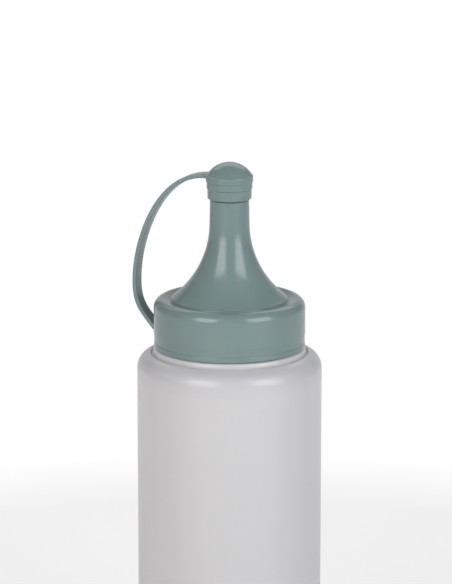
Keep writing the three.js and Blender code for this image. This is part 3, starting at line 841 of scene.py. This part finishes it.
def blown_polyethylene(s):
    """Extrusion-blown low-density polyethylene: milky, with soft edges where light spreads in the wall,
    painted shade over the shoulder down into the groove under the cap, partly also the wall's greater
    thickness there, and faintly banded where the soft tube was drawn."""
    material, tree, shader, place = new_material("blow_moulded_polyethylene")
    bands = pattern(tree, place, BAND_SIZE, stretch=BAND_STRETCH)
    height = add_node(tree, "ShaderNodeSeparateXYZ", {0: place}).outputs["Z"]
    shoulder_z = s.bottle.body_height
    # Painted shade: the milk darkens over the shoulder and down into the groove under the cap, where less
    # light falls; partly also the wall's greater thickness there
    shoulder_shade = between(
        tree, height, 0, 1, shoulder_z - SHADE_BELOW_SHOULDER, shoulder_z + s.bottle.shoulder_rise)
    # The painted shade stops at the groove, so the collar above it stays light
    shade_to_groove = between(tree, height, 1, GROOVE_SHADE, s.groove_z, s.groove_z + GROOVE_SHADE_RISE)
    shadowed = maths(tree, "MINIMUM", shoulder_shade, shade_to_groove)
    shade_and_bands = maths(tree, "ADD", shadowed, between(tree, bands, 0, BAND_DEPTH))
    cloud = pattern(tree, place, CLOUD_SIZE)
    drawn = pattern(tree, place, DRAWN_SIZE, detail=1, stretch=DRAWN_STRETCH)
    fill(tree, shader, {
        "Base Color": two_tone(tree, shade_and_bands, s.colours.milk, s.colours.milk_shade_and_thick_wall),
        "Roughness": between(tree, cloud, *BLOWN_ROUGHNESS), "IOR": BLOWN_IOR,
        "Subsurface Weight": BLOWN_SUBSURFACE, "Subsurface Radius": BLOWN_SCATTER_BY_COLOUR,
        "Subsurface Scale": BLOWN_SCATTER, "Normal": relief(tree, drawn, SKIN_RELIEF)})
    return material


def cut_foam(s):
    """Polyethylene foam cut from sheet: dull and pale, with fine closed cells that pit the surface."""
    material, tree, shader, place = new_material("die_cut_polyethylene_foam")
    cells = add_node(
        tree, "ShaderNodeTexVoronoi", {"Vector": place, "Scale": 1 / CELL_SIZE}).outputs["Distance"]
    shaded = between(tree, cells, 0, CELL_SHADE, *CELL_RANGE)
    fill(tree, shader, {
        "Base Color": two_tone(tree, shaded, s.colours.foam, s.colours.milk_shade_and_thick_wall),
        "Roughness": between(tree, cells, *FOAM_ROUGHNESS, *CELL_RANGE),
        "Normal": relief(tree, cells, CELL_RELIEF)})
    return material


def pale_floor():
    """Matt white sweep: it takes the object's shadow near the foot, and reads as plain white beyond."""
    material, tree, shader, place = new_material("painted_studio_sweep")
    output = tree.nodes["Material Output"]
    grain = pattern(tree, place, FLOOR_GRAIN)
    fill(tree, shader, {
        "Base Color": (*linear(FLOOR_COLOUR), 1), "Roughness": between(tree, grain, *FLOOR_ROUGHNESS)})
    glow = result(tree, "ShaderNodeEmission", {"Color": (1, 1, 1, 1), "Strength": 1.0})
    path = add_node(tree, "ShaderNodeLightPath").outputs
    mirrored = maths(tree, "MULTIPLY", path["Is Glossy Ray"], BACKDROP_LEVEL)
    seen = maths(tree, "MAXIMUM", mirrored, maths(
        tree, "MAXIMUM", path["Is Camera Ray"], path["Is Transmission Ray"]))
    distance = add_node(tree, "ShaderNodeVectorMath", {0: place}, operation="LENGTH").outputs["Value"]
    far = between(tree, distance, 0, 1, SHADOW_START, SHADOW_END)
    share = maths(tree, "MULTIPLY", seen, maths(tree, "MAXIMUM", far, FLOOR_GLOW))
    mixed = result(tree, "ShaderNodeMixShader", {0: share, 1: shader.outputs[0], 2: glow})
    tree.links.new(mixed, output.inputs["Surface"])
    return material


made_once = {}


def green_plastic(s):
    """The one plastic that the nozzle cap, the tip cap and the strap share."""
    if "green" not in made_once:
        made_once["green"] = moulded_polypropylene(s)
    return made_once["green"]


def thread_inputs(s, wall_radius, outward, segments, start_turn, start_height, material):
    """The threaded tree's inputs; outward is 1 for a ridge outside its wall and -1 for one inside."""
    t = s.thread
    return {
        "Segments": segments, "Pitch": t.pitch, "Turns": t.turns,
        "Root Radius": wall_radius - outward * t.root_sunk, "Height": t.height + t.root_sunk,
        "Base": t.base, "Crest": t.crest, "Outward": outward, "Run-out": t.run_out,
        "Start Turn": start_turn, "Start Height": start_height, "Material": material}


def place_facing(thing, azimuth, elevation, distance, target):
    """Puts a camera or lamp at that distance from a point, and turns it to face the point."""
    a, e = math.radians(azimuth), math.radians(elevation)
    back = Vector((math.sin(a) * math.cos(e), -math.cos(a) * math.cos(e), math.sin(e)))
    thing.location = target + back * distance
    thing.rotation_euler = (-back).to_track_quat("-Z", "Y").to_euler()


def add_soft_box(name, azimuth, elevation, width, height, power, hex_colour):
    """A rectangular lamp that faces the middle of the photograph."""
    data = bpy.data.lights.new(name, "AREA")
    data.shape = "RECTANGLE"
    data.size, data.size_y = width, height
    data.energy = power
    data.color = linear(hex_colour)
    lamp = add_object(name, data)
    place_facing(lamp, azimuth, elevation, LAMP_DISTANCE, Vector(CAMERA_TARGET))


def add_floor():
    """The studio floor, a hair under the bottle."""
    mesh = bpy.data.meshes.new("studio_floor")
    half = FLOOR_SIZE / 2
    corners = ((-half, -half), (half, -half), (half, half), (-half, half))
    mesh.from_pydata([(x, y, FLOOR_Z) for x, y in corners], [], [(0, 1, 2, 3)])
    mesh.materials.append(pale_floor())
    floor = add_object("studio_floor", mesh)


def white_world():
    """Even light from all sides, which the camera sees as plain white and gloss only towards the back."""
    world = bpy.data.worlds.new("studio")
    tree = emptied(world)
    path = add_node(tree, "ShaderNodeLightPath").outputs
    direction = add_node(tree, "ShaderNodeNewGeometry").outputs["Position"]
    backwards = add_node(tree, "ShaderNodeSeparateXYZ", {0: direction}).outputs["Y"]
    behind = between(tree, backwards, 0, BACKDROP_LEVEL, *BACKDROP_EDGE)
    mirrored = maths(tree, "MULTIPLY", path["Is Glossy Ray"], behind)
    straight = maths(tree, "MAXIMUM", path["Is Camera Ray"], path["Is Transmission Ray"])
    seen = maths(tree, "MAXIMUM", straight, mirrored)
    around = maths(tree, "ADD", WORLD_LEVEL, maths(tree, "MULTIPLY", seen, 1 - WORLD_LEVEL))
    sky = result(tree, "ShaderNodeBackground", {"Color": (1, 1, 1, 1), "Strength": around})
    add_node(tree, "ShaderNodeOutputWorld", {"Surface": sky})
    return world


def add_camera():
    """The photograph's camera."""
    data = bpy.data.cameras.new("camera")
    data.lens = CAMERA_LENS
    camera = add_object("camera", data)
    place_facing(camera, 0, CAMERA_ELEVATION, CAMERA_DISTANCE, Vector(CAMERA_TARGET))
    bpy.context.scene.camera = camera


class MakeStage(bpy.types.Operator):
    """Makes the floor, the world, three soft boxes and the camera"""
    bl_idname = "oil_bottle.make_stage"
    bl_label = "Stage"

    def execute(self, context):
        add_floor()
        context.scene.world = white_world()
        for lamp in SOFT_BOXES:
            add_soft_box(*lamp)
        add_camera()
        context.scene.view_settings.view_transform = "Standard"
        return {"FINISHED"}


class MakeBottle(bpy.types.Operator):
    """Makes the blown bottle with its threaded neck"""
    bl_idname = "oil_bottle.make_bottle"
    bl_label = "Bottle"

    def execute(self, context):
        s = settings()
        outline = outline_mesh("bottle_outline", bottle_outline(s), closed=False)
        values = thread_inputs(
            s, s.neck_radius, 1, s.bottle.segments, 0, SKIRT_Z + s.thread.neck_start, blown_polyethylene(s))
        bottle = plain_piece("blown_bottle", threaded_tree(), outline, values)
        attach(bottle, "bottle")
        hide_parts("bottle")
        return {"FINISHED"}


class MakeSealRing(bpy.types.Operator):
    """Makes the seal ring that lies on the bottle's lip"""
    bl_idname = "oil_bottle.make_seal_ring"
    bl_label = "Seal ring"

    def execute(self, context):
        s = settings()
        outline = outline_mesh("seal_outline", seal_outline(s), closed=True)
        values = {"Segments": s.bottle.segments, "Material": cut_foam(s)}
        ring = plain_piece("lip_seal", turned_tree(), outline, values)
        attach(ring, "seal")
        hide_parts("seal_ring")
        return {"FINISHED"}


class MakeNozzleCap(bpy.types.Operator):
    """Makes the nozzle cap: its skirt with the inner thread, the flared cone and the spout"""
    bl_idname = "oil_bottle.make_nozzle_cap"
    bl_label = "Nozzle cap"

    def execute(self, context):
        s = settings()
        t = s.thread
        outline = outline_mesh("nozzle_outline", nozzle_outline(s), closed=True)
        flank_offset = (t.base + t.crest) / 2 + t.flank_clearance
        values = thread_inputs(
            s, s.skirt_inner, -1, s.nozzle.segments, t.cap_start_turn,
            SKIRT_Z + t.neck_start - flank_offset, green_plastic(s))
        cap = plain_piece("moulded_nozzle_cap", threaded_tree(), outline, values)
        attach(cap, "nozzle_cap")
        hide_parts("nozzle_cap")
        return {"FINISHED"}


class MakeTipCap(bpy.types.Operator):
    """Makes the domed tip cap with its three bands and its plug"""
    bl_idname = "oil_bottle.make_tip_cap"
    bl_label = "Tip cap"

    def execute(self, context):
        s = settings()
        outline = outline_mesh("tip_outline", tip_outline(s), closed=False)
        values = {"Segments": s.tip.segments, "Material": green_plastic(s)}
        tip = plain_piece("moulded_tip_cap", turned_tree(), outline, values)
        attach(tip, "tip_cap")
        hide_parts("tip_cap")
        return {"FINISHED"}


class MakeStrap(bpy.types.Operator):
    """Makes the strap that tethers the tip cap to the nozzle cap"""
    bl_idname = "oil_bottle.make_strap"
    bl_label = "Strap"

    def execute(self, context):
        s = settings()
        k = s.strap
        path = line_mesh("strap_path", [(p.x, 0, p.y) for p in strap_path(s)])
        values = {
            "Width": k.width, "Thickness": k.thickness, "Rounding": k.rounding,
            "Start Flare": k.flange_flare, "End Flare": k.root_flare, "Turn": math.pi - k.turn,
            "Material": green_plastic(s)}
        strap = plain_piece("tether_strap", band_tree(), path, values)
        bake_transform(strap)
        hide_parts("strap")
        return {"FINISHED"}


class OilBottlePanel(bpy.types.Panel):
    """Sizes, colours and buttons of the oil bottle"""
    bl_idname = "VIEW3D_PT_oil_bottle"
    bl_label = "Oil Bottle"
    bl_space_type = "VIEW_3D"
    bl_region_type = "UI"
    bl_category = "Oil Bottle"

    def draw(self, context):
        for attribute, title, _ in GROUPS:
            group = getattr(context.scene, attribute)
            box = self.layout.box()
            box.label(text=title)
            for name in group.bl_rna.properties.keys():
                if name not in ("rna_type", "name"):
                    box.prop(group, name)
        for operator in OPERATORS:
            self.layout.operator(operator.bl_idname)


GROUPS = (
    ("oil_bottle_body", "Bottle", BottleSizes),
    ("oil_bottle_thread", "Thread", ThreadSizes),
    ("oil_bottle_nozzle", "Nozzle cap", NozzleSizes),
    ("oil_bottle_tip", "Tip cap", TipSizes),
    ("oil_bottle_strap", "Strap", StrapSizes),
    ("oil_bottle_colours", "Colours", BottleColours),
)
OPERATORS = (MakeStage, MakeBottle, MakeSealRing, MakeNozzleCap, MakeTipCap, MakeStrap)


def register():
    for attribute, _, group in GROUPS:
        bpy.utils.register_class(group)
        setattr(bpy.types.Scene, attribute, bpy.props.PointerProperty(type=group))
    for cls in (*OPERATORS, OilBottlePanel):
        bpy.utils.register_class(cls)


def unregister():
    for cls in reversed((*OPERATORS, OilBottlePanel)):
        bpy.utils.unregister_class(cls)
    for attribute, _, group in reversed(GROUPS):
        delattr(bpy.types.Scene, attribute)
        bpy.utils.unregister_class(group)


def main():
    register()
    bpy.ops.oil_bottle.make_stage()
    bpy.ops.oil_bottle.make_bottle()
    bpy.ops.oil_bottle.make_seal_ring()
    bpy.ops.oil_bottle.make_nozzle_cap()
    bpy.ops.oil_bottle.make_tip_cap()
    bpy.ops.oil_bottle.make_strap()


if __name__ == "__main__":
    main()
